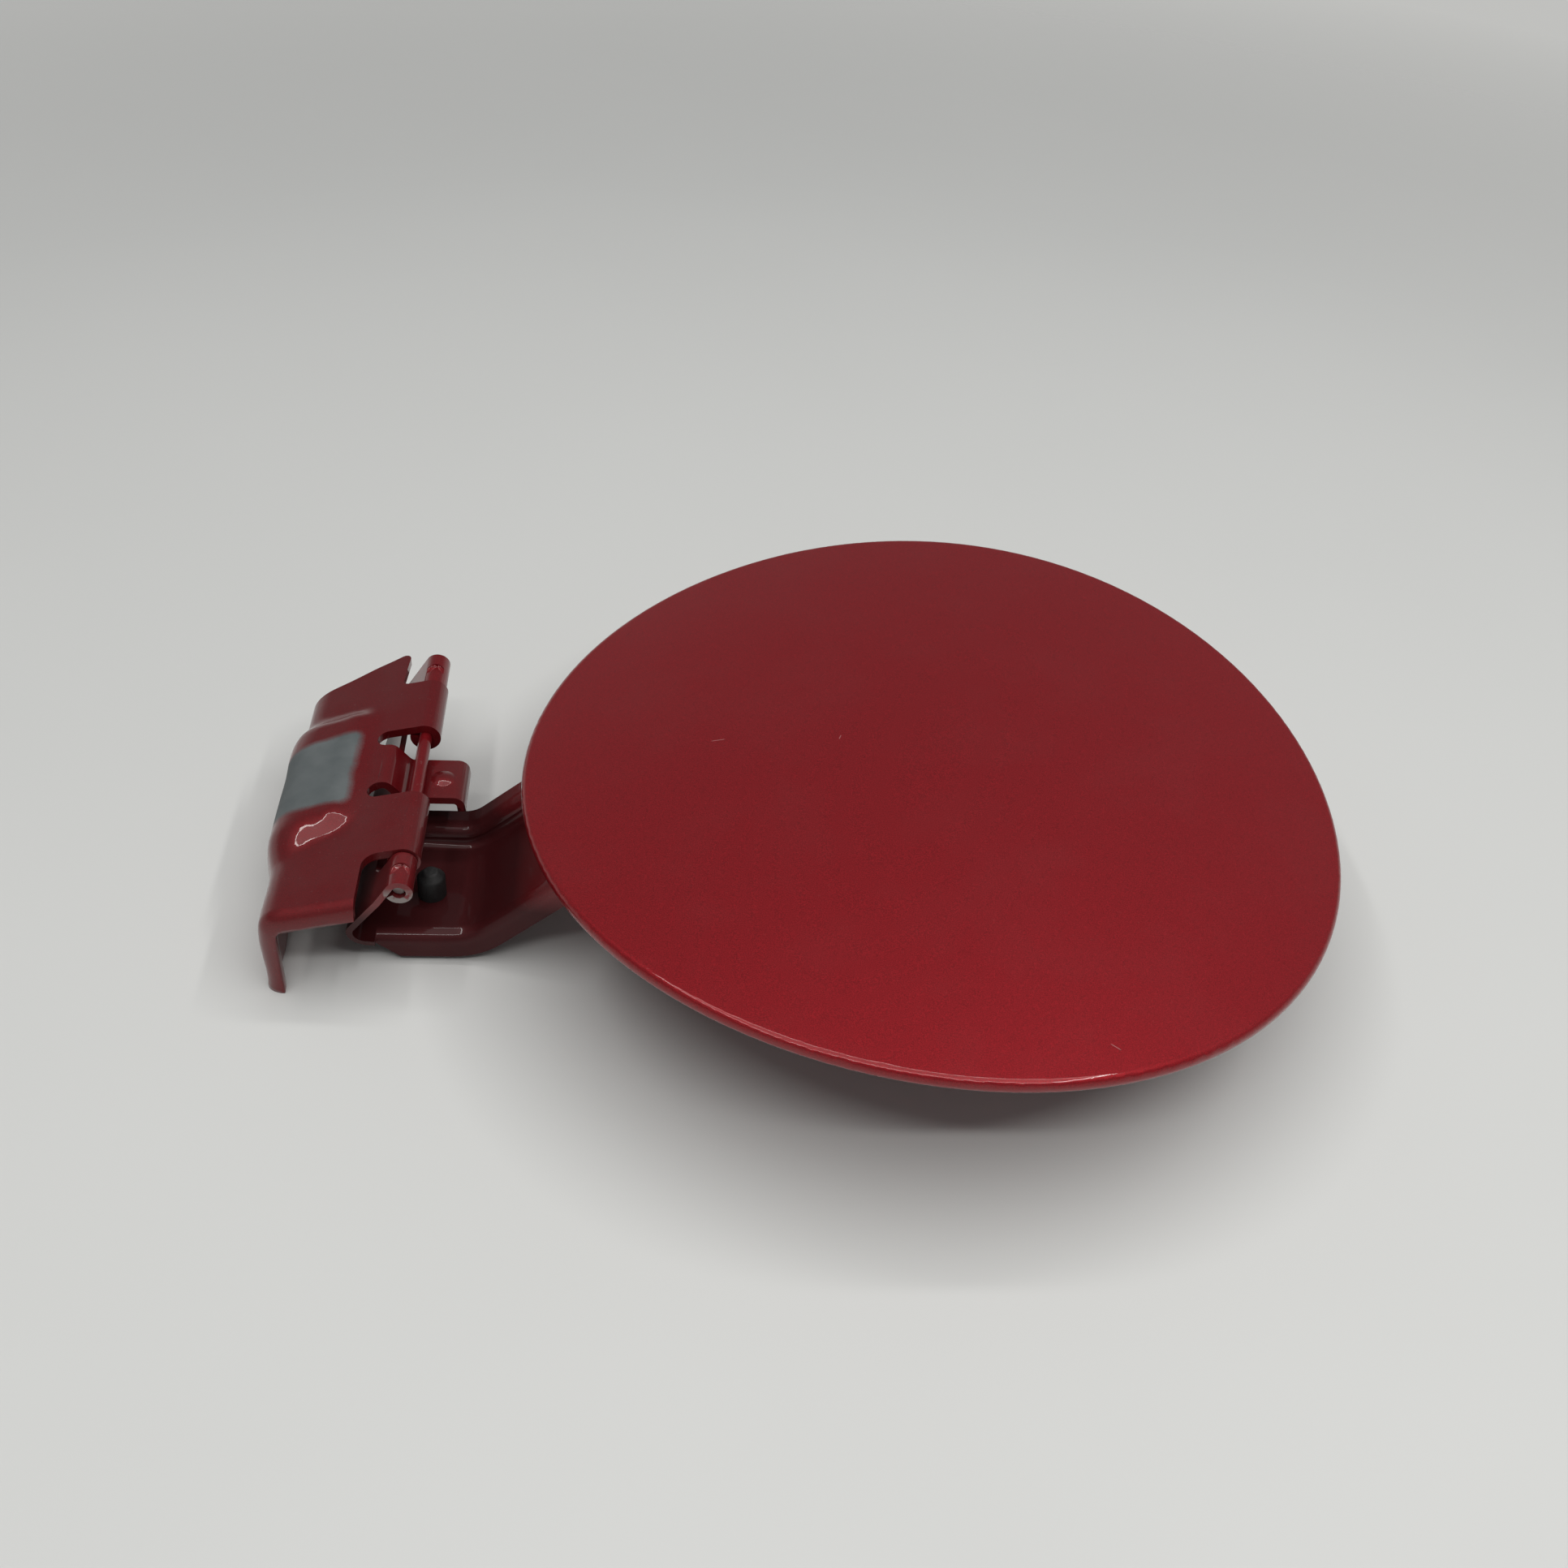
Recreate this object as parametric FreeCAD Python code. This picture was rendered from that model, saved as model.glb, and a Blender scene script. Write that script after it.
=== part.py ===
import FreeCAD, Part
import math
import os

Vector = FreeCAD.Vector

# Round fuel filler flap with its gooseneck arm, hinge pin and stamped hinge bracket.
# Millimetres and degrees. The origin is the middle of the two bolt holes, on the bracket's
# mounting face. X runs from that face towards the latch side of the flap, Y runs along the
# hinge pin and Z points out of the car body, so the closed flap lies flat.

# Flap: a round skin that is bent far more across one direction than along the other
flap_radius = 85.0
flap_sag_across = 9.06
flap_sag_along = 1.2
flap_bend_turn = -23.35
flap_centre_y = -6.0
flap_above_pin = 10.0
rim_to_pin = 21.9
skin_sheet = 0.8
hem_width = 8.0

# Inner panel: hem ring, dish and gooseneck arm, stamped from one sheet
inner_sheet = 1.3
hem_clearance = 0.05
hem_end_gap = 0.4
dish_radius = 70.0
dish_depth = 7.0
dish_wall_run = 5.0
jig_hole_radius = 4.0
jig_hole_from_centre = 38.0

# Gooseneck arm, measured from the pin axis
arm_floor_below_pin = 16.3
arm_floor_back = 7.6
arm_floor_front = 12.4
arm_rise_angle = 41.0
arm_floor_bend = 10.0
arm_near_y = -30.0
arm_far_y = -3.2
arm_lip_drop = 5.2
arm_lip_splay = 1.0
arm_lip_runout = 7.0
arm_ledge_rise = 4.2
arm_ledge_width = 6.2
arm_fold = 2.0
ear_angle = 57.0
ear_corner_bend = 2.2
web_from_pin = 7.0
web_corner = 3.0
near_ear_length = 5.0
far_ear_length = 11.0

# Hinge, from the near end of the pin to its far end
pin_diameter = 2.8
pin_recess = 1.0
pin_from_face = 28.8
pin_height = 15.0
hinge_near_y = -34.7
near_arm_knuckle = 8.7
near_bracket_knuckle = 17.4
far_bracket_knuckle = 16.2
far_arm_knuckle = 10.0
knuckle_side_gap = 0.3
running_fit = 0.05
stake_fit = 0.01
curl_gap = 0.15
stake_radius = 2.7
stake_depth = 0.75

# Hinge bracket: a folded plate with a raised mounting pad and a stop tongue
bracket_sheet = 1.8
lap_inset = 0.06
lap = 0.8
plate_slope = 13.5
bracket_bend = 5.5
flange_set_back = 1.9
foot_below_bolts = 7.8
near_edge_y = -37.0
near_lip_drop = 3.8
near_lip_round = 3.2
notch_from_pin = 7.9
notch_round = 3.0
hook_reach = 12.0
hook_round = 1.3
hook_lean = 0.9
far_edge_y = 28.7
slot_width = 4.5
slot_from_pin = 9.7
bolt_radius = 3.3
bolt_spacing = 16.0
pad_near_ramp = (-13.0, -20.5)
pad_near_half = (2.2, 5.5)
pad_far_ramp = (21.0, 17.0)
pad_far_half = (2.6, 3.0)
pad_coining = 0.15
pad_rise_run = 6.5

# Stop tongue of the bracket
tongue_width = 12.2
tongue_pin_gap = 1.0
tongue_reach = 9.4
tongue_tip_drop = 3.6
tongue_bend = 2.4
tongue_shoulder = 2.0
tongue_corner = 3.6
tongue_dimple_radius = 2.6
tongue_dimple_height = 0.7

# Rubber stop buffer, pushed into a hole in the arm's floor
buffer_radius = 2.9
buffer_height = 6.4
buffer_hole_radius = 2.0
buffer_fit = 0.05
buffer_barb = 2.4
buffer_from_pin = 3.7
buffer_y = -18.0

# Latch striker, welded under the dish on the side away from the hinge
striker_sheet = 1.5
striker_width = 20.0
striker_from_centre = 57.0
striker_flange = 11.0
striker_window_width = 10.0
striker_window_height = 7.5
striker_window_up = 6.0
striker_corner = 3.0

# Places worked out from the sizes above
pin_radius = pin_diameter / 2
bracket_bore = pin_radius + running_fit
bracket_curl = bracket_bore + bracket_sheet
arm_bore = pin_radius + stake_fit
arm_curl = arm_bore + inner_sheet
near_arm_end = hinge_near_y + near_arm_knuckle
near_bracket_start = near_arm_end + knuckle_side_gap
near_bracket_end = near_bracket_start + near_bracket_knuckle
tongue_near_y = near_bracket_end + slot_width
tongue_far_y = tongue_near_y + tongue_width
far_bracket_start = tongue_far_y + slot_width
far_bracket_end = far_bracket_start + far_bracket_knuckle
far_arm_start = far_bracket_end + knuckle_side_gap
far_arm_end = far_arm_start + far_arm_knuckle
flap_centre_x = pin_from_face + rim_to_pin + flap_radius
hem_stack = 2 * skin_sheet + inner_sheet + 2 * hem_clearance
flap_top_z = pin_height + flap_above_pin + (flap_sag_across + flap_sag_along) / 2
foot_z = -foot_below_bolts
arm_floor_z = pin_height - arm_floor_below_pin
clear = 60.0


def along(angle):
    """Unit vector in the XZ plane at an angle from +X towards +Z."""
    return Vector(math.cos(math.radians(angle)), 0, math.sin(math.radians(angle)))


def pin_point(radius, angle, y=0.0):
    """Point at a radius and an angle round the hinge pin."""
    return Vector(pin_from_face, y, pin_height) + along(angle) * radius


def rounded_edges(points, radii, closed):
    """Lines through the points, with an arc of the given radius at each corner."""
    count = len(points)
    starts = []
    ends = []
    arcs = []
    for i, corner in enumerate(points):
        radius = radii[i]
        if radius == 0 or (not closed and i in (0, count - 1)):
            starts.append(corner)
            ends.append(corner)
            arcs.append(None)
            continue
        back = (points[i - 1] - corner).normalize()
        ahead = (points[(i + 1) % count] - corner).normalize()
        half = back.getAngle(ahead) / 2
        reach = radius / math.tan(half)
        middle = (back + ahead).normalize()
        bulge = corner + middle * (radius / math.sin(half) - radius)
        starts.append(corner + back * reach)
        ends.append(corner + ahead * reach)
        arcs.append(Part.Arc(starts[i], bulge, ends[i]).toShape())
    edges = []
    for i in range(count):
        if arcs[i]:
            edges.append(arcs[i])
        last = i == count - 1
        if not last or closed:
            follower = starts[(i + 1) % count]
            if (follower - ends[i]).Length > 1e-6:
                edges.append(Part.LineSegment(ends[i], follower).toShape())
    return edges


def rounded_face(points, radii):
    """Flat face inside a closed outline with rounded corners."""
    return Part.Face(Part.Wire(rounded_edges(points, radii, True)))


def side_step(points, normal, distance):
    """Shift a chain of lines sideways, keeping each line parallel to itself."""
    directions = [(b - a).normalize() for a, b in zip(points, points[1:])]
    sides = [normal.cross(direction) for direction in directions]
    shifted = [points[0] + sides[0] * distance]
    for i in range(1, len(points) - 1):
        middle = (sides[i - 1] + sides[i]).normalize()
        shifted.append(points[i] + middle * (distance / middle.dot(sides[i])))
    shifted.append(points[-1] + sides[-1] * distance)
    return shifted


def sheet_face(points, bends, thickness, normal):
    """Section of a folded sheet. The points run along one side of it, and the sheet lies on
    the side that normal cross direction points to. A bend is given at that first side."""
    other = side_step(points, normal, thickness)
    other_bends = []
    for i, bend in enumerate(bends):
        if bend == 0:
            other_bends.append(0)
            continue
        turn = (points[i] - points[i - 1]).cross(points[i + 1] - points[i]).dot(normal)
        other_bends.append(bend - thickness if turn > 0 else bend + thickness)
    first = rounded_edges(points, bends, False)
    second = rounded_edges(other, other_bends, False)
    caps = [Part.LineSegment(points[0], other[0]).toShape()]
    caps.append(Part.LineSegment(points[-1], other[-1]).toShape())
    return Part.Face(Part.Wire(Part.__sortEdges__(first + second + caps)))


def block(x0, x1, y0, y1, z0, z1):
    """Box between two corners."""
    return Part.makeBox(x1 - x0, y1 - y0, z1 - z0, Vector(x0, y0, z0))


def post(x, y, radius, z0, z1):
    """Upright cylinder."""
    return Part.makeCylinder(radius, z1 - z0, Vector(x, y, z0))


def flap_cylinder(radius):
    """Upright cylinder on the flap's axis."""
    return post(flap_centre_x, flap_centre_y, radius, flap_top_z - clear, flap_top_z + clear)


def bent_slab(depth_top, depth_bottom):
    """Plate between two surfaces parallel to the flap's skin, at depths below it. An arc
    is turned through a small angle about a far axis, so both bends are exact circles."""
    across = (flap_radius ** 2 + flap_sag_across ** 2) / (2 * flap_sag_across)
    far = (flap_radius ** 2 + flap_sag_along ** 2) / (2 * flap_sag_along)
    reach = 1.2 * flap_radius
    centre = Vector(0, 0, -across)
    spread = math.degrees(math.asin(reach / across))
    rim = []
    for radius in (across - depth_top, across - depth_bottom):
        rim.append([centre + along(90 + turn) * radius for turn in (spread, 0, -spread)])
    edges = [Part.Arc(*rim[0]).toShape(), Part.LineSegment(rim[0][2], rim[1][2]).toShape()]
    edges.append(Part.Arc(*reversed(rim[1])).toShape())
    edges.append(Part.LineSegment(rim[1][0], rim[0][0]).toShape())
    section = Part.Face(Part.Wire(edges))
    swing = math.degrees(math.asin(reach / far))
    axis_point = Vector(0, 0, -far)
    section.rotate(axis_point, Vector(1, 0, 0), -swing)
    slab = section.revolve(axis_point, Vector(1, 0, 0), 2 * swing)
    slab.rotate(Vector(), Vector(0, 0, 1), flap_bend_turn)
    slab.translate(Vector(flap_centre_x, flap_centre_y, flap_top_z))
    return slab


def outer_panel():
    """Painted skin. Its edge is rolled round and folded back as a hem under the inner panel."""
    blank = bent_slab(0, hem_stack).common(flap_cylinder(flap_radius))
    rims = [edge for edge in blank.Edges if edge.Length > flap_radius]
    blank = blank.makeFillet(0.48 * hem_stack, rims)
    slot = bent_slab(skin_sheet, hem_stack - skin_sheet)
    slot = slot.common(flap_cylinder(flap_radius - skin_sheet))
    mouth = bent_slab(hem_stack / 2, hem_stack + clear / 10)
    mouth = mouth.common(flap_cylinder(flap_radius - hem_width))
    return blank.cut(slot).cut(mouth)


def dish_cone(wall):
    """Cone inside or outside the dish wall, on the flap's axis."""
    slope = dish_wall_run / dish_depth
    low_z = flap_top_z - dish_depth - clear / 4
    height = clear / 2
    low = dish_radius + wall - slope * clear / 4
    return Part.makeCone(low, low + slope * height, height, Vector(flap_centre_x, flap_centre_y, low_z))


def dish():
    """Round body of the inner panel: a flat ring for the hem and a shallow dish inside it."""
    ring_top = skin_sheet + hem_clearance
    ring = bent_slab(ring_top, ring_top + inner_sheet)
    ring = ring.common(flap_cylinder(flap_radius - skin_sheet - hem_end_gap))
    outside = bent_slab(ring_top, dish_depth + inner_sheet).common(dish_cone(inner_sheet))
    inside = bent_slab(-clear / 4, dish_depth).common(dish_cone(0))
    return ring.fuse(outside).cut(inside)


def arm_path():
    """Upper side of the arm's floor: level under the pin, then up to the dish."""
    start = Vector(pin_from_face - arm_floor_back - clear / 10, 0, arm_floor_z)
    corner = Vector(pin_from_face + arm_floor_front, 0, arm_floor_z)
    rise = flap_top_z - dish_depth - arm_floor_z
    top = corner + along(arm_rise_angle) * (rise / math.sin(math.radians(arm_rise_angle)))
    return Part.Wire(rounded_edges([start, corner, top], [0, arm_floor_bend, 0], False))


def below_lip():
    """Space under the arm's near lip, which runs out to nothing towards the ear plate."""
    low = arm_floor_z - arm_lip_drop - inner_sheet / 2
    high = arm_floor_z - inner_sheet
    back_x = pin_from_face - arm_floor_back
    corners = [
        Vector(back_x, -clear, high), Vector(back_x + arm_lip_runout, -clear, low),
        Vector(back_x + arm_lip_runout, -clear, low - clear), Vector(-clear, -clear, low - clear),
        Vector(-clear, -clear, high),
    ]
    return Part.Face(Part.makePolygon(corners + [corners[0]])).extrude(Vector(0, clear, 0))


def arm_channel():
    """Gooseneck: one section with a down-turned near lip and a raised far ledge, along the path."""
    start_x = pin_from_face - arm_floor_back - clear / 10
    lip_y = arm_near_y - arm_lip_splay
    line = [
        Vector(start_x, lip_y, arm_floor_z - arm_lip_drop),
        Vector(start_x, arm_near_y, arm_floor_z),
        Vector(start_x, arm_far_y, arm_floor_z),
        Vector(start_x, arm_far_y, arm_floor_z + arm_ledge_rise),
        Vector(start_x, arm_far_y + arm_ledge_width, arm_floor_z + arm_ledge_rise),
    ]
    bends = [0, arm_fold + inner_sheet, arm_fold, arm_fold + inner_sheet, 0]
    section = sheet_face(line, bends, inner_sheet, Vector(-1, 0, 0))
    return arm_path().makePipeShell([section.OuterWire], True, False)


def curl(bore, outside, start_angle, y0, y1):
    """Rolled knuckle round the pin. The sheet comes in at the start angle, goes over the top
    and round, and ends just short of its own underside."""
    open_angle = math.degrees(math.acos((bore - curl_gap) / outside))
    sweep = 360 - open_angle
    ends = [pin_point(bore, start_angle, y0), pin_point(outside, start_angle, y0)]
    middle_angle = start_angle - sweep / 2
    last_angle = start_angle - sweep
    lasts = [pin_point(bore, last_angle, y0), pin_point(outside, last_angle, y0)]
    edges = [
        Part.LineSegment(ends[0], ends[1]).toShape(),
        Part.Arc(ends[1], pin_point(outside, middle_angle, y0), lasts[1]).toShape(),
        Part.LineSegment(lasts[1], lasts[0]).toShape(),
        Part.Arc(lasts[0], pin_point(bore, middle_angle, y0), ends[0]).toShape(),
    ]
    return Part.Face(Part.Wire(edges)).extrude(Vector(0, y1 - y0, 0))


def stake(y0, y1, outside):
    """Half-moon dent that locks the pin in an arm knuckle."""
    straight_y = (y0 + y1) / 2 - stake_radius / 2
    top = pin_height + outside
    disc = post(pin_from_face, straight_y, stake_radius, top - stake_depth, top + stake_depth)
    far_half = block(pin_from_face - clear, pin_from_face + clear, straight_y, straight_y + clear,
                     top - stake_depth, top + stake_depth)
    return disc.common(far_half)


def ear_line():
    """Outer side of the ear plate: from the knuckle down to the corner, then along the floor."""
    lead = pin_point(arm_curl, 90 + ear_angle)
    floor_z = arm_floor_z - inner_sheet
    run = (lead.z - floor_z) / math.sin(math.radians(ear_angle))
    corner = lead + along(180 + ear_angle) * run
    return lead, corner, Vector(pin_from_face - arm_floor_back + inner_sheet, 0, floor_z)


def behind_ear():
    """Space behind the ear plate and its corner, which the arm's channel stays out of."""
    lead, corner, floor_end = ear_line()
    floor_end = Vector(pin_from_face - arm_floor_back, 0, floor_end.z)
    run = (lead.x - floor_end.x) / math.cos(math.radians(ear_angle))
    above = lead + along(180 + ear_angle) * run
    inside = rounded_face([above, corner, floor_end], [0, ear_corner_bend + inner_sheet, 0])
    inside.translate(Vector(0, -clear, 0))
    inside = inside.extrude(Vector(0, 2 * clear, 0))
    return block(-clear, floor_end.x, -clear, clear, -clear, clear).cut(inside)


def yoke():
    """Ear plate of the arm: down from the two knuckles, and round the corner into the floor."""
    ear_turn = 180 + ear_angle
    tangent = 90 + ear_angle
    lead, corner, floor_end = ear_line()
    run = (corner - lead).Length
    bends = [0, ear_corner_bend + inner_sheet, 0]
    plate = sheet_face([lead, corner, floor_end], bends, inner_sheet, Vector(0, -1, 0))
    plate.translate(Vector(0, hinge_near_y, 0))
    plate = plate.extrude(Vector(0, far_arm_end - hinge_near_y, 0))
    far_foot_y = arm_far_y + arm_ledge_width
    near_foot_y = arm_near_y - arm_lip_splay
    above = -arm_curl
    below = run + clear / 4
    outline = [
        (hinge_near_y, above, 0), (near_arm_end, above, 0), (near_arm_end, web_from_pin, web_corner),
        (far_arm_start, web_from_pin, web_corner), (far_arm_start, above, 0), (far_arm_end, above, 0),
        (far_arm_end, far_ear_length, web_corner), (far_foot_y, run, 0), (far_foot_y, below, 0),
        (near_foot_y, below, 0), (near_foot_y, run, 0), (hinge_near_y, near_ear_length, 0),
    ]
    points = [pin_point(reach, ear_turn, y) for y, reach, bend in outline]
    across = along(tangent)
    keep = rounded_face([p - across * clear for p in points], [bend for y, reach, bend in outline])
    plate = plate.common(keep.extrude(across * (2 * clear)))
    near = curl(arm_bore, arm_curl, tangent, hinge_near_y, near_arm_end)
    far = curl(arm_bore, arm_curl, tangent, far_arm_start, far_arm_end)
    body = plate.fuse([near, far])
    dents = [stake(hinge_near_y, near_arm_end, arm_curl), stake(far_arm_start, far_arm_end, arm_curl)]
    return body.cut(dents)


def inner_panel():
    """One stamping: hem ring, dish, gooseneck arm and the two outer hinge knuckles. The arm's
    sheet runs half-way into the sheet of the ring and the dish."""
    middle = inner_sheet / 2
    hollow = bent_slab(-clear / 4, dish_depth + middle).common(dish_cone(middle))
    above_ring = bent_slab(-clear / 4, skin_sheet + hem_clearance + middle)
    channel = arm_channel().cut([hollow, above_ring, behind_ear(), below_lip()])
    body = dish().fuse([channel, yoke()])
    holes = [post(pin_from_face + buffer_from_pin, buffer_y, buffer_hole_radius,
                  arm_floor_z - clear, arm_floor_z + clear / 10)]
    for side in (-1, 1):
        holes.append(post(flap_centre_x, flap_centre_y + side * jig_hole_from_centre, jig_hole_radius,
                          flap_top_z - clear, flap_top_z - flap_sag_across / 2))
    return body.cut(holes).removeSplitter()


def steps(first, last, count):
    """Values from the first to the last in a number of equal steps."""
    return [first + (last - first) * i / count for i in range(count + 1)]


def smooth(value):
    """Ease from 0 to 1."""
    value = min(max(value, 0.0), 1.0)
    return value * value * (3 - 2 * value)


def lengths(points):
    """Distance from the first point to each point, along the chain."""
    places = [0.0]
    for a, b in zip(points, points[1:]):
        places.append(places[-1] + (b - a).Length)
    return places


def curve_through(points, places):
    """Smooth curve through points that lie at the given places along it."""
    curve = Part.BSplineCurve()
    curve.interpolate(Points=points, Parameters=[place - places[0] for place in places])
    return curve


def pressed_surface(grid, row_places, column_places):
    """Smooth surface through a grid of points, whose rows and columns have the given spacing."""
    across = [curve_through(row, column_places) for row in grid]
    lines = zip(*[curve.getPoles() for curve in across])
    down = [curve_through(list(line), row_places) for line in lines]
    poles = [list(line) for line in zip(*[curve.getPoles() for curve in down])]
    surface = Part.BSplineSurface()
    surface.buildFromPolesMultsKnots(
        poles, down[0].getMultiplicities(), across[0].getMultiplicities(),
        down[0].getKnots(), across[0].getKnots(), False, False, down[0].Degree, across[0].Degree)
    return surface


def bracket_plate():
    """Folded plate of the bracket, as a smooth pressed surface with a raised pad in its middle.
    The pad grows out of the plate towards the fold and stands proud on the flange, and the near
    edge is turned in as a lip."""
    slope = along(180 + plate_slope)
    start = pin_point(bracket_curl, 90 + plate_slope)
    plate_run = (start.x - flange_set_back) / math.cos(math.radians(plate_slope))
    fold_turn = 90 - plate_slope
    fold_reach = bracket_bend * math.tan(math.radians(fold_turn / 2))
    straight = plate_run - fold_reach
    corner = start + slope * plate_run
    fold_start = start + slope * straight
    fold_centre = fold_start - along(90 + plate_slope) * bracket_bend
    flange_top = corner - Vector(0, 0, fold_reach)
    rows = []
    for share in steps(0, 1, 9)[:-1]:
        rows.append((start + slope * (straight * share), along(90 + plate_slope)))
    for turn in steps(90 + plate_slope, 180, 3)[:-1]:
        rows.append((fold_centre + along(turn) * bracket_bend, along(turn)))
    for z in steps(flange_top.z, foot_z, 2):
        rows.append((Vector(flange_set_back, 0, z), along(180)))
    pad_start = pin_from_face - slot_from_pin
    near_foot = pad_near_ramp[1] - pad_near_half[1]
    near_top = pad_near_ramp[0] + pad_near_half[0]
    far_top = pad_far_ramp[1] - pad_far_half[1]
    far_foot = pad_far_ramp[0] + pad_far_half[0]
    lip_y = near_edge_y - near_lip_round
    columns = [(lip_y, near_lip_drop, 90.0)]
    for tilt in steps(90, 0, 2)[:-1]:
        turn = math.radians(tilt)
        columns.append((near_edge_y - near_lip_round * math.sin(turn),
                        near_lip_round * (1 - math.cos(turn)), tilt))
    columns.append((near_edge_y, 0.0, 0.0))
    stretches = [(near_edge_y, near_foot, 2), (near_foot, near_top, 6), (near_top, far_top, 3),
                 (far_top, far_foot, 4), (far_foot, far_bracket_end + hook_reach + lap, 2)]
    for low, high, count in stretches:
        columns += [(y, 0.0, 0.0) for y in steps(low, high, count)[1:]]
    outer = []
    inner = []
    for point, side in rows:
        share = min(max((pad_start - point.x) / (pad_start - flange_set_back), 0.0), 1.0)
        height = (flange_set_back + pad_coining) * smooth((pad_start - point.x) / pad_rise_run)
        near_ramp = pad_near_ramp[0] + (pad_near_ramp[1] - pad_near_ramp[0]) * share
        near_half = pad_near_half[0] + (pad_near_half[1] - pad_near_half[0]) * share
        far_ramp = pad_far_ramp[0] + (pad_far_ramp[1] - pad_far_ramp[0]) * share
        far_half = pad_far_half[0] + (pad_far_half[1] - pad_far_half[0]) * share
        outer_row = []
        inner_row = []
        for y, drop, tilt in columns:
            rise = smooth((y - near_ramp + near_half) / (2 * near_half))
            fall = smooth((far_ramp + far_half - y) / (2 * far_half))
            place = Vector(point.x, y, point.z) + side * (height * rise * fall - drop)
            turn = math.radians(tilt)
            facing = side * math.cos(turn) - Vector(0, 1, 0) * math.sin(turn)
            outer_row.append(place)
            inner_row.append(place - facing * bracket_sheet)
        outer.append(outer_row)
        inner.append(inner_row)
    row_places = lengths([point for point, side in rows])
    column_places = lengths([Vector(0, y, -drop) for y, drop, tilt in columns])
    edge_column = columns.index((near_edge_y, 0.0, 0.0))
    faces = []
    for stretch in (slice(0, edge_column + 1), slice(edge_column, len(columns))):
        places = column_places[stretch]
        skins = [[row[stretch] for row in grid] for grid in (outer, inner)]
        faces += [pressed_surface(grid, row_places, places).toShape() for grid in skins]
        for end in (0, -1):
            faces.append(Part.makeRuledSurface(*[curve_through(grid[end], places).toShape() for grid in skins]))
    for end in (0, -1):
        sides = [[row[end] for row in grid] for grid in (outer, inner)]
        faces.append(Part.makeRuledSurface(*[curve_through(line, row_places).toShape() for line in sides]))
    shell = Part.makeShell(faces)
    shell.sewShape()
    return Part.Solid(Part.Shell(shell.Faces))


def bracket_outline():
    """Outline of the bracket seen from above, without its slots."""
    notch_x = pin_from_face - notch_from_pin
    hook_x = notch_x + hook_round
    left_x = -clear / 10
    tip_y = far_bracket_end + hook_reach
    outline = [
        (left_x, near_edge_y - clear, 0), (notch_x, near_edge_y - clear, 0),
        (notch_x, near_bracket_start, notch_round), (pin_from_face + clear, near_bracket_start, 0),
        (pin_from_face + clear, far_bracket_end, 0), (hook_x, far_bracket_end, hook_round),
        (hook_x + hook_lean, tip_y, hook_round), (flange_set_back, far_edge_y, hook_round),
        (left_x, far_edge_y, 0),
    ]
    points = [Vector(x, y, foot_z - clear) for x, y, bend in outline]
    face = rounded_face(points, [bend for x, y, bend in outline])
    return face.extrude(Vector(0, 0, 3 * clear))


def tongue():
    """Stop tongue: bent down under the pin, out to the other side and down again at its tip."""
    root_x = pin_from_face - notch_from_pin
    slope = along(180 + plate_slope)
    plate_start = pin_point(bracket_curl, 90 + plate_slope)
    run = (plate_start.x - root_x) / math.cos(math.radians(plate_slope))
    lap_end = plate_start + slope * (run + lap)
    root = plate_start + slope * run
    level = pin_height - pin_radius - tongue_pin_gap
    dip_x = pin_from_face - pin_radius - tongue_pin_gap
    shoulder = root - slope * tongue_shoulder
    line = [
        lap_end, shoulder, Vector(dip_x, 0, level),
        Vector(pin_from_face + tongue_reach, 0, level),
        Vector(pin_from_face + tongue_reach + tongue_tip_drop / 10, 0, level - tongue_tip_drop),
    ]
    bends = [0, tongue_bend, tongue_bend / 2, tongue_bend, 0]
    strip = sheet_face(line, bends, bracket_sheet - 2 * lap_inset, Vector(0, 1, 0))
    strip.translate(Vector(0, tongue_near_y, -lap_inset))
    strip = strip.extrude(Vector(0, tongue_width, 0))
    tip_x = pin_from_face + tongue_reach + tongue_tip_drop
    corners = [Vector(0, tongue_near_y, -clear), Vector(tip_x, tongue_near_y, -clear)]
    corners += [Vector(tip_x, tongue_far_y, -clear), Vector(0, tongue_far_y, -clear)]
    plan = rounded_face(corners, [0, tongue_corner, tongue_corner, 0])
    strip = strip.common(plan.extrude(Vector(0, 0, 3 * clear)))
    ball = (tongue_dimple_radius ** 2 + tongue_dimple_height ** 2) / (2 * tongue_dimple_height)
    dimple_x = pin_from_face + tongue_reach / 2
    dimple = Part.makeSphere(ball, Vector(dimple_x, (tongue_near_y + tongue_far_y) / 2,
                                          level + tongue_dimple_height - ball))
    cap = block(dimple_x - ball, dimple_x + ball, tongue_near_y, tongue_far_y,
                level - bracket_sheet / 2, level + ball)
    return strip.fuse(dimple.common(cap))


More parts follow.
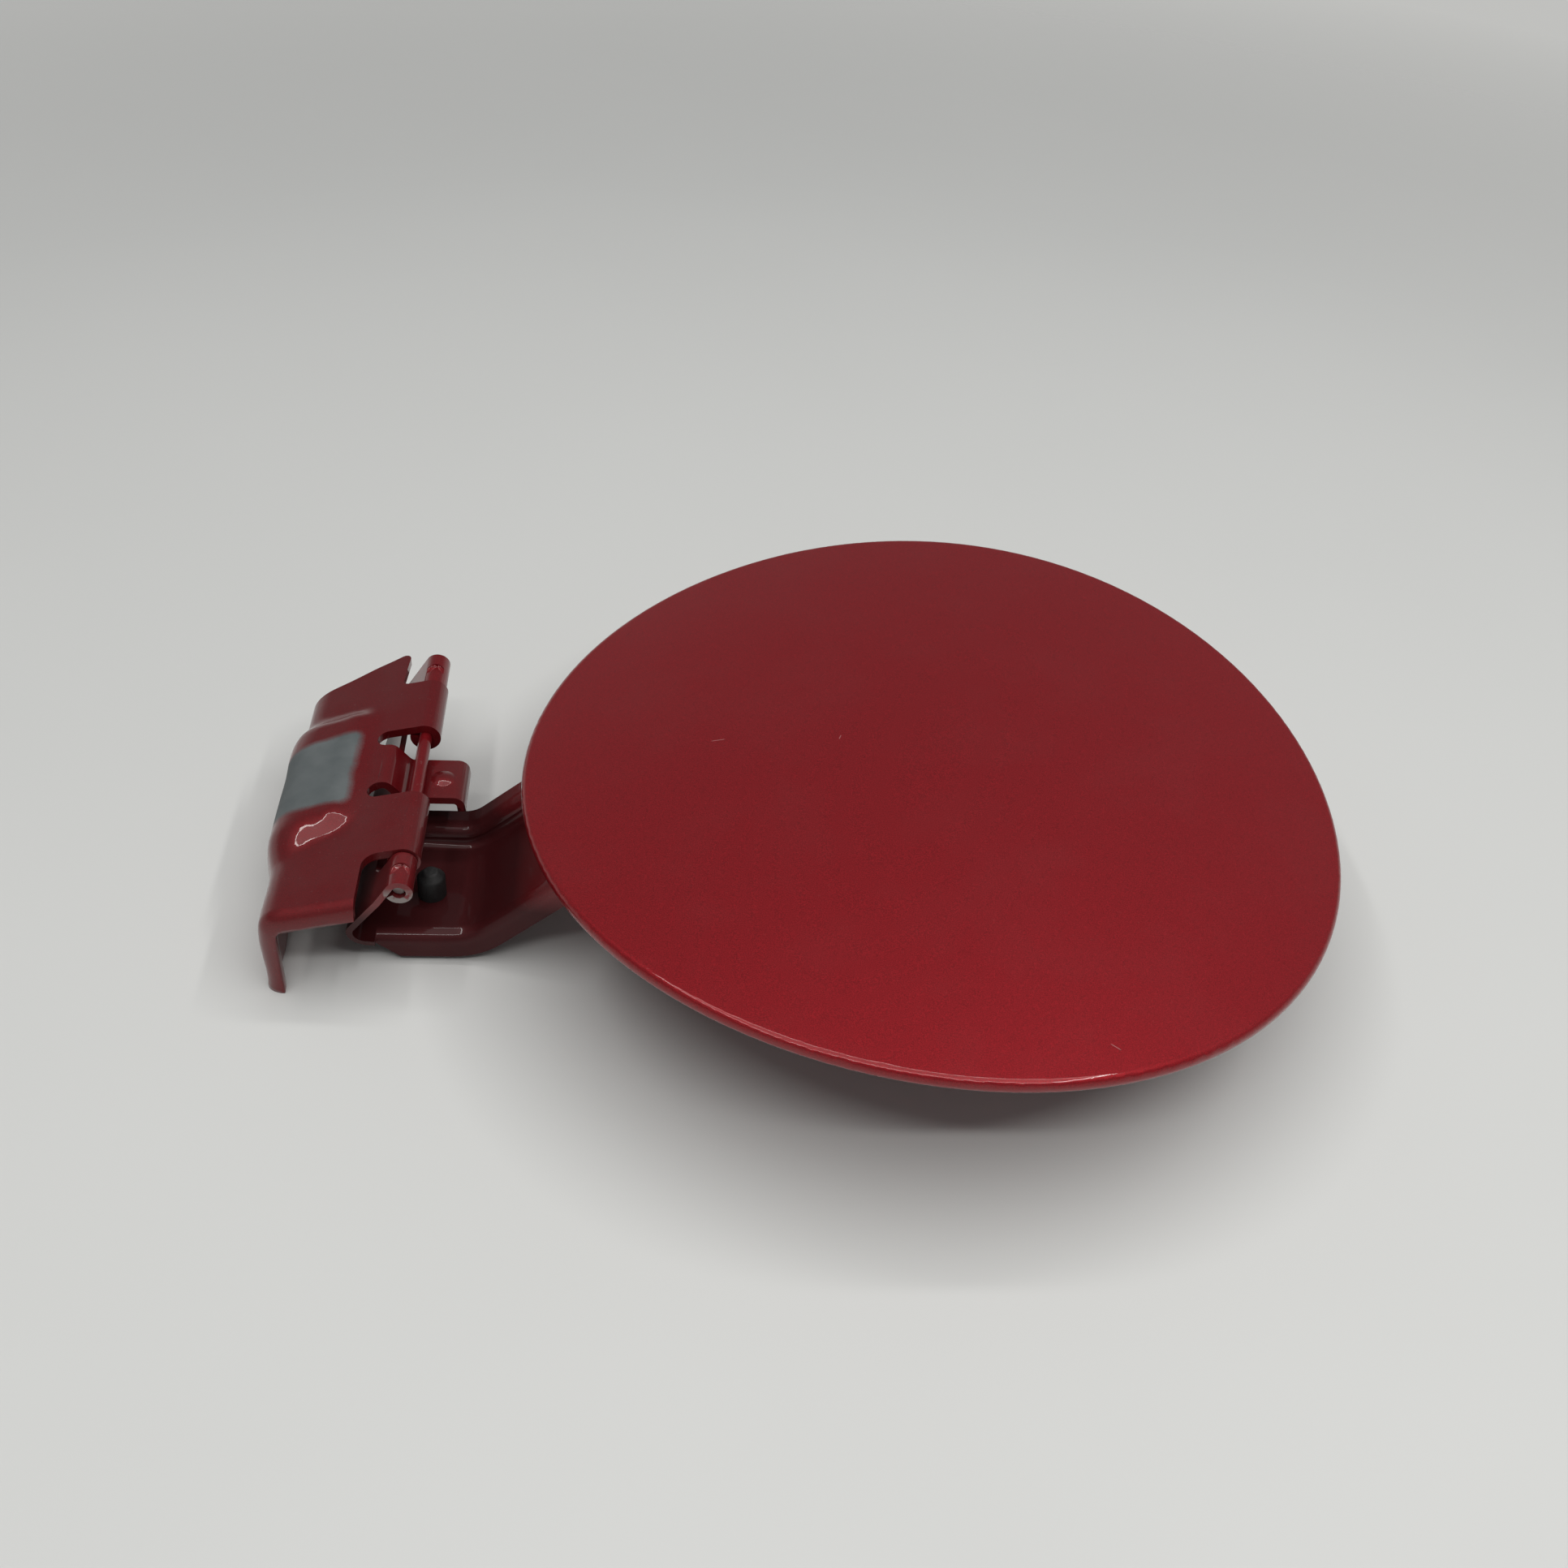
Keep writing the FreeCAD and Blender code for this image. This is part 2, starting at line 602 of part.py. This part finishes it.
def hinge_bracket():
    """Stamped bracket: plate, flange with two bolt holes, two inner knuckles and the tongue."""
    plate = bracket_plate().common(bracket_outline())
    slot_x = pin_from_face - slot_from_pin
    end = slot_width / 2
    cuts = []
    for y in (near_bracket_end, tongue_far_y):
        cuts.append(block(slot_x + end, pin_from_face + clear, y, y + slot_width, 0, clear))
        cuts.append(post(slot_x + end, y + end, end, 0, clear))
    root_x = pin_from_face - notch_from_pin
    cuts.append(block(root_x, pin_from_face + clear, tongue_near_y - end, tongue_far_y + end, 0, clear))
    cuts.append(block(-clear, 0, -clear, clear, -clear, clear))
    for side in (-1, 1):
        cuts.append(Part.makeCylinder(bolt_radius, clear / 4, Vector(-1, side * bolt_spacing / 2, 0),
                                      Vector(1, 0, 0)))
    plate = plate.cut(cuts)
    tangent = 90 + plate_slope
    near = curl(bracket_bore, bracket_curl, tangent, near_bracket_start, near_bracket_end)
    far = curl(bracket_bore, bracket_curl, tangent, far_bracket_start, far_bracket_end)
    return plate.fuse([near, far, tongue()]).removeSplitter()


def hinge_pin():
    """Plain pin, staked in the arm's knuckles and running in the bracket's."""
    y0 = hinge_near_y + pin_recess
    y1 = far_arm_end - pin_recess
    pin = Part.makeCylinder(pin_radius, y1 - y0, Vector(pin_from_face, y0, pin_height), Vector(0, 1, 0))
    return pin.makeChamfer(pin_radius / 5, [e for e in pin.Edges if e.Closed and e.Length > pin_radius])


def stop_buffer():
    """Rubber buffer: domed head on the floor, neck through the hole, barb underneath."""
    x = pin_from_face + buffer_from_pin
    neck = buffer_hole_radius - buffer_fit
    under = -inner_sheet - buffer_fit
    line = [
        (0, buffer_height), (buffer_radius * 0.45, buffer_height), (buffer_radius, buffer_height * 0.72),
        (buffer_radius, 0), (neck, 0), (neck, under), (buffer_hole_radius * 1.25, under),
        (neck * 0.55, under - buffer_barb), (0, under - buffer_barb),
    ]
    points = [Vector(x + r, buffer_y, arm_floor_z + h) for r, h in line]
    face = Part.Face(Part.makePolygon(points + [points[0]]))
    return face.revolve(Vector(x, buffer_y, 0), Vector(0, 0, 1), 360)


def latch_striker():
    """Steel strap under the dish, with a window for the latch bolt."""
    x = flap_centre_x + striker_from_centre
    y0 = flap_centre_y - striker_width / 2
    y1 = flap_centre_y + striker_width / 2
    under = dish_depth + inner_sheet
    flange = bent_slab(under, under + striker_sheet)
    flange = flange.common(block(x - striker_flange, x + striker_sheet, y0, y1, -clear, clear))
    corners = [Vector(x, y0, foot_z), Vector(x, y1, foot_z), Vector(x, y1, flap_top_z), Vector(x, y0, flap_top_z)]
    leg = rounded_face(corners, [striker_corner, striker_corner, 0, 0]).extrude(Vector(striker_sheet, 0, 0))
    leg = leg.cut(bent_slab(-clear / 4, under))
    half = striker_window_width / 2
    low = foot_z + striker_window_up
    high = low + striker_window_height
    sides = (flap_centre_y - half, flap_centre_y + half)
    window = [Vector(x - 1, sides[0], low), Vector(x - 1, sides[1], low)]
    window += [Vector(x - 1, sides[1], high), Vector(x - 1, sides[0], high)]
    hole = rounded_face(window, [1.5] * 4).extrude(Vector(striker_sheet + 2, 0, 0))
    return leg.cut(hole).fuse(flange).removeSplitter()


pieces = {
    "outer_panel": outer_panel,
    "inner_panel": inner_panel,
    "hinge_bracket": hinge_bracket,
    "hinge_pin": hinge_pin,
    "stop_buffer": stop_buffer,
    "latch_striker": latch_striker,
}

os.makedirs("parts", exist_ok=True)
for name, make in pieces.items():
    shape = make()
    print(name, shape.ShapeType, len(shape.Solids), shape.isValid(), round(shape.Volume, 1))
    shape.exportStep("parts/" + name + ".step")
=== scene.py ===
import math

import bmesh
import bpy
from mathutils import Matrix, Vector


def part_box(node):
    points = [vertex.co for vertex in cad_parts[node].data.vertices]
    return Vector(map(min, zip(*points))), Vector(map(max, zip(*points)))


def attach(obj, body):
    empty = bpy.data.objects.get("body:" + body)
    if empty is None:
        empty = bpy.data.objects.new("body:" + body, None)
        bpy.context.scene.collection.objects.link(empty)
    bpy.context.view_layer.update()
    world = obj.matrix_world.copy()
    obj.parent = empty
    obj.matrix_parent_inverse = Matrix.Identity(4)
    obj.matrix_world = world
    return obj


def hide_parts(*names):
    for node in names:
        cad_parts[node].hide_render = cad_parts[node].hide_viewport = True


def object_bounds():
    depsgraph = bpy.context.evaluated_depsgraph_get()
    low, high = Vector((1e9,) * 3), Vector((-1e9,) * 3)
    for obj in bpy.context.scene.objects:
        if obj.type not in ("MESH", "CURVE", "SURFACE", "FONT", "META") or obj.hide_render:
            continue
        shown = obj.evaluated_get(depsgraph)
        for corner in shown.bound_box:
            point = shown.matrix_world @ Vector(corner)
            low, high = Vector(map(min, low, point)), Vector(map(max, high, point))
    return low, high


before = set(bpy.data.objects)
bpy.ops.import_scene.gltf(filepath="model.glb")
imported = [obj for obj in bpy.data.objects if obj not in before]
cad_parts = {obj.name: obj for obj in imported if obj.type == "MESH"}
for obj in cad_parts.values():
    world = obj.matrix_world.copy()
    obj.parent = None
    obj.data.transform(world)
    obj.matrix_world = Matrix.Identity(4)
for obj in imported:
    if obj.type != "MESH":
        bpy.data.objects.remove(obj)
cad_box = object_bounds()

# Camera: at the photograph's angle, above the near edge of the flap.
# Its three axes and its place are in the part's own frame, in metres.
CAMERA_RIGHT = (0.99553, -0.05583, 0.07615)
CAMERA_UP = (-0.02141, 0.65200, 0.75792)
CAMERA_BACK = (-0.09196, -0.75616, 0.64789)
CAMERA_PLACE = (0.07341, -0.26322, 0.24064)
SENSOR_MM = 36.0
LENS_MM = 37.49

camera = bpy.data.objects.new("camera", bpy.data.cameras.new("camera"))
camera.data.sensor_width = SENSOR_MM
camera.data.lens = LENS_MM
axes = Matrix((CAMERA_RIGHT, CAMERA_UP, CAMERA_BACK)).transposed().to_4x4()
camera.matrix_world = Matrix.Translation(CAMERA_PLACE) @ axes
bpy.context.scene.collection.objects.link(camera)
bpy.context.scene.camera = camera
bpy.context.scene.view_settings.view_transform = "Standard"

# Flap skin: deep red metallic paint under a clear coat, on pressed steel with a hemmed edge.
# Fine flakes tint the base, the coat has a faint ripple, and three short scratches cross it.
# Like each piece, it is a smoothly shaded copy of its solid, in the solid's place.
PAINT_DEEP = (0.172, 0.0034, 0.0068, 1)
PAINT_BRIGHT = (0.288, 0.0058, 0.0115, 1)
# Dark red for thin paint and for painted shade
PAINT_THIN_AND_SHADED = (0.050, 0.0050, 0.0062, 1)
PAINT_METAL = 0.45
PAINT_ROUGH = 0.36
PAINT_SPECULAR = 0.12
COAT = 0.85
COAT_ROUGH = 0.04
COAT_IOR = 1.48
# A range is the two noise values between which a pattern grows from none to full
FLAKE_SCALE = 5200
FLAKE_RANGE = (0.25, 0.75)
FLAKE_ROUGH = 0.10
FLAKE_RELIEF = 0.02
RIPPLE_SCALE = 210
RIPPLE_STRENGTH = 0.05
RIPPLE_DEPTH = 0.0004
DUST = (0.20, 0.15, 0.145, 1)
DUST_ROUGH = 0.4
DUST_FILM_SCALE = 45
DUST_FILM_RANGE = (0.45, 0.8)
DUST_SPECK_SCALE = 1500
DUST_SPECK_RANGE = (0.70, 0.76)
SKIN_DUST = 0.06
SCRATCHED = (0.55, 0.30, 0.30, 1)
SCRATCH_SHARE = 0.45
SCRATCH_ROUGH = 0.3
SCRATCH_EDGE = 0.00012
SCRATCH_CORE = 0.00005
SCRATCH_FADE = 0.0004
# The centre of each scratch, its angle from X and its length
SCRATCHES = [
    ((0.0907, -0.0013), 8, 0.0030),
    ((0.1159, -0.0016), 70, 0.0016),
    ((0.1580, -0.0815), -35, 0.0022),
]
MERGE_WITHIN = 1e-6


class Shade:
    """One value in a node tree. Sums and products of such values make the nodes for them."""

    def __init__(self, tree, socket):
        self.tree = tree
        self.socket = socket

    def node(self, kind, inputs, output=0, **settings):
        made = self.tree.nodes.new(kind)
        for name, value in settings.items():
            setattr(made, name, value)
        set_inputs(made, inputs)
        return Shade(self.tree, made.outputs[output])

    def maths(self, operation, *others):
        return self.node("ShaderNodeMath", dict(enumerate((self, *others))), operation=operation)

    def __add__(self, other):
        return self.maths("ADD", other)

    def __sub__(self, other):
        return self.maths("SUBTRACT", other)

    def __rsub__(self, other):
        return self.maths("MULTIPLY", -1.0) + other

    def __mul__(self, other):
        return self.maths("MULTIPLY", other)

    __radd__ = __add__
    __rmul__ = __mul__

    def axis(self, name):
        return self.node("ShaderNodeSeparateXYZ", {0: self}, name)

    def step(self, low, high):
        """0 at low and 1 at high, with an even change between them and none beyond."""
        return self.node("ShaderNodeMapRange", {"Value": self, "From Min": low, "From Max": high})

    def noise(self, scale, detail=2.0, roughness=0.5):
        inputs = {"Vector": self, "Scale": scale, "Detail": detail, "Roughness": roughness}
        return self.node("ShaderNodeTexNoise", inputs)

    def mix(self, first, second):
        """Colour between the first, at 0, and the second, at 1."""
        inputs = {"Factor": self, 6: first, 7: second}
        return self.node("ShaderNodeMix", inputs, 2, data_type="RGBA")

    def bump(self, strength, distance):
        return self.node("ShaderNodeBump", {"Height": self, "Strength": strength, "Distance": distance})


def set_inputs(node, inputs):
    """Puts plain numbers on the node's sockets and links values to them."""
    for name, value in inputs.items():
        if isinstance(value, Shade):
            value.tree.links.new(value.socket, node.inputs[name])
        else:
            node.inputs[name].default_value = value


def start_material(name):
    """New material: its shader node and the place of a point in the part's frame."""
    made = bpy.data.materials.new(name)
    made.use_nodes = True
    tree = made.node_tree
    place = Shade(tree, tree.nodes.new("ShaderNodeTexCoord").outputs["Object"])
    return made, tree.nodes["Principled BSDF"], place


def painted(name, dust_amount, depth=0.0):
    """Red paint: the material, its shader, the place, and the colour and roughness so far.
    Depth darkens the paint all over the piece, partly as paint sprayed thinly over a dark primer and
    partly as painted shade."""
    made, shader, place = start_material(name)
    flakes = place.noise(FLAKE_SCALE, 0.0)
    colour = flakes.step(*FLAKE_RANGE).mix(PAINT_DEEP, PAINT_BRIGHT)
    film = place.noise(DUST_FILM_SCALE, 4.0, 0.6).step(*DUST_FILM_RANGE)
    specks = place.noise(DUST_SPECK_SCALE, 1.0).step(*DUST_SPECK_RANGE)
    dust = (film * 0.5 + specks * 0.5) * dust_amount
    # Painted shade, partly thin paint: depth darkens the whole piece, and the dust film mottles it at
    # random
    mottle_and_shade = film * (dust_amount * 0.5) + depth
    colour = dust.mix(mottle_and_shade.mix(colour, PAINT_THIN_AND_SHADED), DUST)
    roughness = flakes * FLAKE_ROUGH + dust * DUST_ROUGH + PAINT_ROUGH
    ripple = place.noise(RIPPLE_SCALE, 1.0) + flakes * FLAKE_RELIEF
    set_inputs(shader, {
        "Metallic": PAINT_METAL, "Specular IOR Level": PAINT_SPECULAR,
        "Coat Weight": COAT, "Coat Roughness": COAT_ROUGH, "Coat IOR": COAT_IOR,
        "Normal": ripple.bump(RIPPLE_STRENGTH, RIPPLE_DEPTH),
    })
    return made, shader, place, colour, roughness


def scratch(place, centre, angle, length):
    """1 inside a thin straight scratch seen from above, 0 outside it."""
    along = Vector((math.cos(math.radians(angle)), math.sin(math.radians(angle))))
    x = place.axis("X") - centre[0]
    y = place.axis("Y") - centre[1]
    away = (y * along.x - x * along.y).maths("ABSOLUTE")
    run = (x * along.x + y * along.y).maths("ABSOLUTE")
    inside = run.step(length / 2, length / 2 - SCRATCH_FADE)
    return away.step(SCRATCH_EDGE, SCRATCH_CORE) * inside


def smooth_copy(node, material, body, crease=32, flat_weight=100):
    """Merged and smoothly shaded copy of a CAD node, which stands for the node. Edges
    sharper than the crease angle, in degrees, stay sharp. The flat weight, up to 100, says how
    far large faces set the shading of small ones beside them."""
    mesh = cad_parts[node].data.copy()
    work = bmesh.new()
    work.from_mesh(mesh)
    bmesh.ops.remove_doubles(work, verts=work.verts, dist=MERGE_WITHIN)
    bmesh.ops.recalc_face_normals(work, faces=work.faces)
    work.to_mesh(mesh)
    work.free()
    mesh.shade_smooth()
    mesh.set_sharp_from_angle(angle=math.radians(crease))
    mesh.materials.clear()
    mesh.materials.append(material)
    piece = bpy.data.objects.new(node + "_finish", mesh)
    bpy.context.scene.collection.objects.link(piece)
    weighted = piece.modifiers.new("weighted", "WEIGHTED_NORMAL")
    weighted.mode = "FACE_AREA_WITH_ANGLE"
    weighted.keep_sharp = True
    weighted.weight = flat_weight
    graph = bpy.context.evaluated_depsgraph_get()
    shaded = bpy.data.meshes.new_from_object(piece.evaluated_get(graph))
    piece.modifiers.clear()
    piece.data = shaded
    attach(piece, body)
    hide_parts(node)


skin_paint, shader, place, colour, roughness = painted("flap_paint", SKIN_DUST)
marks = scratch(place, *SCRATCHES[0])
for mark in SCRATCHES[1:]:
    marks = marks.maths("MAXIMUM", scratch(place, *mark))
colour = (marks * SCRATCH_SHARE).mix(colour, SCRATCHED)
set_inputs(shader, {"Base Color": colour, "Roughness": roughness + marks * SCRATCH_ROUGH})
smooth_copy("outer_panel", skin_paint, "flap")

# Inner panel with the gooseneck arm: the same paint, darker low in the arm from painted shade and from
# thinner, dusty paint.
# The ends of its two rolled knuckles are worn to bare steel on their lower half.
# The knuckles reach a little past both ends of the hinge pin.
ARM_PAINTED_SHADE = (0.032, 0.0075, 0.0085, 1)
ARM_SHADE_SHARE = 0.85
ARM_SHADE_TOP = 0.0115
ARM_SHADE_FULL = 0.0060
ARM_ROUGH = 0.12
ARM_COAT_LOSS = 0.45
INNER_DUST = 0.30
# Depth darkens the whole inner panel and pin, partly as thin paint and partly as painted shade
INNER_DEPTH = 0.3
INNER_CREASE = 20
BARE_STEEL = (0.27, 0.235, 0.225, 1)
KNUCKLE_PAST_PIN = 0.0010
KNUCKLE_RADIUS = 0.0031
WEAR_EDGE = 0.0003
WEAR_START = 0.0002
WEAR_FULL = 0.0001
WEAR_ABOVE_PIN = 0.0012
WEAR_BELOW_PIN = 0.0008
WEAR_SCALE = 900
WEAR_RANGE = (0.35, 0.50)
WEAR_COAT_LOSS = 0.4

pin_low, pin_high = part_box("hinge_pin")
pin_middle = (pin_low + pin_high) / 2
hinge_near = pin_low.y - KNUCKLE_PAST_PIN
hinge_far = pin_high.y + KNUCKLE_PAST_PIN


def from_pin(place):
    """Distance from the hinge pin's axis."""
    x = place.axis("X") - pin_middle.x
    z = place.axis("Z") - pin_middle.z
    return (x * x + z * z).maths("SQRT")


def hinge_ends(place, start, full):
    """1 at both ends of the hinge and 0 between them, from the depths where it starts and is full."""
    y = place.axis("Y")
    near = y.step(hinge_near + start, hinge_near + full)
    return near + y.step(hinge_far - start, hinge_far - full)


inner_paint, shader, place, colour, roughness = painted("inner_paint", INNER_DUST, INNER_DEPTH)
# Painted shade with thinner, dusty paint: darker, rougher and with less coat low in the arm
below = place.axis("Z").step(ARM_SHADE_TOP, ARM_SHADE_FULL)
colour = (below * ARM_SHADE_SHARE).mix(colour, ARM_PAINTED_SHADE)
low_half = place.axis("Z").step(pin_middle.z + WEAR_ABOVE_PIN, pin_middle.z - WEAR_BELOW_PIN)
worn = hinge_ends(place, WEAR_START, WEAR_FULL) * low_half
worn = worn * from_pin(place).step(KNUCKLE_RADIUS, KNUCKLE_RADIUS - WEAR_EDGE)
worn = worn * place.noise(WEAR_SCALE, 3.0).step(*WEAR_RANGE)
set_inputs(shader, {
    "Base Color": worn.mix(colour, BARE_STEEL),
    "Roughness": roughness + below * ARM_ROUGH,
    "Coat Weight": COAT - below * ARM_COAT_LOSS - worn * WEAR_COAT_LOSS,
})
smooth_copy("inner_panel", inner_paint, "flap", INNER_CREASE)

# Hinge bracket: thick pressed steel in the same paint. A masked patch of bare grey primer
# lies over the raised pad and its fold, with a sprayed edge that fades into the red.
PRIMER = (0.085, 0.098, 0.102, 1)
PRIMER_LIGHT = (0.125, 0.138, 0.142, 1)
PRIMER_SCALE = 120
PRIMER_RANGE = (0.3, 0.7)
PRIMER_ROUGH = 0.22
PRIMER_COAT_LOSS = 0.80
BRACKET_DUST = 0.22
# Depth darkens the whole bracket, partly as thin paint and partly as painted shade
BRACKET_DEPTH = 0.5
BRACKET_FLAT_WEIGHT = 50
PATCH_X = 0.0155
PATCH_NEAR_Y = -0.0118
PATCH_NEAR_SLANT = 0.12
PATCH_FAR_Y = 0.0085
PATCH_FAR_SLANT = 0.28
PATCH_LOW_Z = 0.0065
SPRAY = 0.0014
SPRAY_GRAIN = 1.2
SPRAY_GRAIN_SCALE = 2600
SPRAY_RANGE = (0.15, 0.80)
WANDER = 0.0016
WANDER_SCALE = 170

bracket_paint, shader, place, colour, roughness = painted("bracket_paint", BRACKET_DUST, BRACKET_DEPTH)
wander = (place.noise(WANDER_SCALE, 2.0) - 0.5) * WANDER
x = place.axis("X") + wander
y = place.axis("Y") + wander
from_near = y - x * PATCH_NEAR_SLANT
from_far = y - x * PATCH_FAR_SLANT
patch = x.step(PATCH_X + SPRAY, PATCH_X - SPRAY)
patch = patch * from_near.step(PATCH_NEAR_Y - SPRAY, PATCH_NEAR_Y + SPRAY)
patch = patch * from_far.step(PATCH_FAR_Y + SPRAY, PATCH_FAR_Y - SPRAY)
patch = patch * (place.axis("Z") + wander).step(PATCH_LOW_Z - SPRAY, PATCH_LOW_Z + SPRAY)
grain = place.noise(SPRAY_GRAIN_SCALE, 2.0) - 0.5
patch = (patch + grain * patch * (1 - patch) * SPRAY_GRAIN).step(*SPRAY_RANGE)
primer = place.noise(PRIMER_SCALE, 3.0).step(*PRIMER_RANGE).mix(PRIMER, PRIMER_LIGHT)
set_inputs(shader, {
    "Base Color": patch.mix(colour, primer),
    "Roughness": roughness + patch * PRIMER_ROUGH,
    "Metallic": PAINT_METAL * (1 - patch),
    "Coat Weight": COAT - patch * PRIMER_COAT_LOSS,
})
smooth_copy("hinge_bracket", bracket_paint, "bracket", flat_weight=BRACKET_FLAT_WEIGHT)

# Hinge pin: plain steel rod, painted in place inside the knuckles, with the paint rubbed off
# at its two ends and in a few faint spots.
PIN_END_RUB = 0.0006
PIN_SPOT_SCALE = 700
PIN_SPOT_RANGE = (0.66, 0.72)
PIN_SPOT_SHARE = 0.15
PIN_RUB_ROUGH = 0.1
PIN_RUB_COAT_LOSS = 0.6

pin_paint, shader, place, colour, roughness = painted("pin_paint", INNER_DUST, INNER_DEPTH)
spots = place.noise(PIN_SPOT_SCALE, 3.0).step(*PIN_SPOT_RANGE) * PIN_SPOT_SHARE
rubbed = (hinge_ends(place, KNUCKLE_PAST_PIN + PIN_END_RUB, KNUCKLE_PAST_PIN) + spots).step(0.0, 1.0)
set_inputs(shader, {
    "Base Color": rubbed.mix(colour, BARE_STEEL),
    "Roughness": roughness + rubbed * PIN_RUB_ROUGH,
    "Coat Weight": COAT - rubbed * PIN_RUB_COAT_LOSS,
})
smooth_copy("hinge_pin", pin_paint, "flap")

# Stop buffer: moulded black rubber, matt and finely pored, with a dry bloom on its top.
# Its stem is pushed into a hole in the arm's floor.
RUBBER = (0.0045, 0.0045, 0.0048, 1)
RUBBER_BLOOM = (0.009, 0.009, 0.0095, 1)
RUBBER_ROUGH = 0.58
BLOOM_ROUGH = 0.2
BLOOM_SCALE = 420
BLOOM_RANGE = (0.40, 0.75)
PORE_SCALE = 3400
PORE_STRENGTH = 0.25
PORE_DEPTH = 0.0002

rubber, shader, place = start_material("rubber")
bloom = place.noise(BLOOM_SCALE, 4.0, 0.6).step(*BLOOM_RANGE)
set_inputs(shader, {
    "Base Color": bloom.mix(RUBBER, RUBBER_BLOOM),
    "Roughness": bloom * BLOOM_ROUGH + RUBBER_ROUGH,
    "Normal": place.noise(PORE_SCALE, 2.0).bump(PORE_STRENGTH, PORE_DEPTH),
})
smooth_copy("stop_buffer", rubber, "flap")

# Latch striker: steel strap welded under the dish, in the inner panel's dusty paint.
# The latch bolt has rubbed the rim of its window, which is in the middle of the strap.
STRIKER_DUST = 0.40
# Depth darkens the whole striker, partly as thin paint and partly as painted shade
STRIKER_DEPTH = 0.5
WINDOW_ABOVE_FOOT = 0.0098
RUBBED_HALF_WIDTH = 0.0068
RUBBED_HALF_HEIGHT = 0.0056
RUBBED_FADE = 0.0012
RUBBED_SCALE = 800
RUBBED_RANGE = (0.40, 0.58)
RUBBED_ROUGH = 0.05
RUBBED_COAT_LOSS = 0.7

striker_low, striker_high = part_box("latch_striker")
window_y = (striker_low.y + striker_high.y) / 2
window_z = striker_low.z + WINDOW_ABOVE_FOOT
striker_paint, shader, place, colour, roughness = painted("striker_paint", STRIKER_DUST, STRIKER_DEPTH)
off_y = (place.axis("Y") - window_y).maths("ABSOLUTE")
off_z = (place.axis("Z") - window_z).maths("ABSOLUTE")
rim = off_y.step(RUBBED_HALF_WIDTH, RUBBED_HALF_WIDTH - RUBBED_FADE)
rim = rim * off_z.step(RUBBED_HALF_HEIGHT, RUBBED_HALF_HEIGHT - RUBBED_FADE)
rim = rim * place.noise(RUBBED_SCALE, 3.0).step(*RUBBED_RANGE)
set_inputs(shader, {
    "Base Color": rim.mix(colour, BARE_STEEL),
    "Roughness": roughness + rim * RUBBED_ROUGH,
    "Coat Weight": COAT - rim * RUBBED_COAT_LOSS,
})
smooth_copy("latch_striker", striker_paint, "flap")

# Floor: a plain pale sheet under the part, a little uneven in tone, which fades into the pale
# room around it. It is not a piece of the part.
FLOOR_PALE = (0.63, 0.64, 0.635, 1)
FLOOR_GREY = (0.59, 0.60, 0.595, 1)
FLOOR_ROUGH = 0.5
TONE_SCALE = 6
TONE_ROUGH = 0.1
FLOOR_X = 0.11
FLOOR_HALF = 1.0
FLOOR_SQUARES = 8
FADE_START = 0.40
FADE_END = 0.85

floor_mesh = bpy.data.meshes.new("floor")
work = bmesh.new()
bmesh.ops.create_grid(work, x_segments=FLOOR_SQUARES, y_segments=FLOOR_SQUARES, size=FLOOR_HALF)
work.to_mesh(floor_mesh)
work.free()
floor = bpy.data.objects.new("floor", floor_mesh)
floor.location = (FLOOR_X, 0.0, cad_box[0].z)
bpy.context.scene.collection.objects.link(floor)
floor_paint, shader, place = start_material("floor_paint")
tone = place.noise(TONE_SCALE, 3.0)
x = place.axis("X")
y = place.axis("Y")
away = (x * x + y * y).maths("SQRT")
set_inputs(shader, {
    "Base Color": tone.mix(FLOOR_PALE, FLOOR_GREY),
    "Roughness": tone * TONE_ROUGH + FLOOR_ROUGH,
    "Alpha": away.step(FADE_END, FADE_START),
})
floor_mesh.materials.append(floor_paint)

# Light: a soft panel overhead in a frame of four long tubes, as in a photo tent, and a room
# with pale walls under a dim ceiling. Each lamp has its place, its lengths along X and Y, and
# its power.
LAMP_HEIGHT = 0.75
TUBE_WIDTH = 0.05
LAMPS = [
    ("panel", (0.16, -0.10), (0.84, 0.70), 1.6),
    ("tube_far", (0.16, 0.26), (0.84, TUBE_WIDTH), 1.3),
    ("tube_near", (0.16, -0.46), (0.84, TUBE_WIDTH), 2.2),
    ("tube_left", (-0.26, -0.10), (TUBE_WIDTH, 0.70), 1.4),
    ("tube_right", (0.58, -0.10), (TUBE_WIDTH, 0.70), 2.2),
]
LAMP_TINT = (1.0, 0.985, 0.96)
WALLS = (0.53, 0.53, 0.515, 1)
WALLS_TOP = 0.10
CEILING = (0.16, 0.162, 0.164, 1)
CEILING_START = 0.40

for name, spot, size, power in LAMPS:
    lamp = bpy.data.lights.new(name, "AREA")
    lamp.shape = "RECTANGLE"
    lamp.size, lamp.size_y = size
    lamp.energy = power
    lamp.color = LAMP_TINT
    holder = bpy.data.objects.new(name, lamp)
    holder.location = (*spot, LAMP_HEIGHT)
    bpy.context.scene.collection.objects.link(holder)
world = bpy.data.worlds.new("room")
world.use_nodes = True
tree = world.node_tree
direction = Shade(tree, tree.nodes.new("ShaderNodeTexCoord").outputs["Generated"])
room = direction.axis("Z").step(WALLS_TOP, CEILING_START).mix(WALLS, CEILING)
set_inputs(tree.nodes["Background"], {"Color": room})
bpy.context.scene.world = world
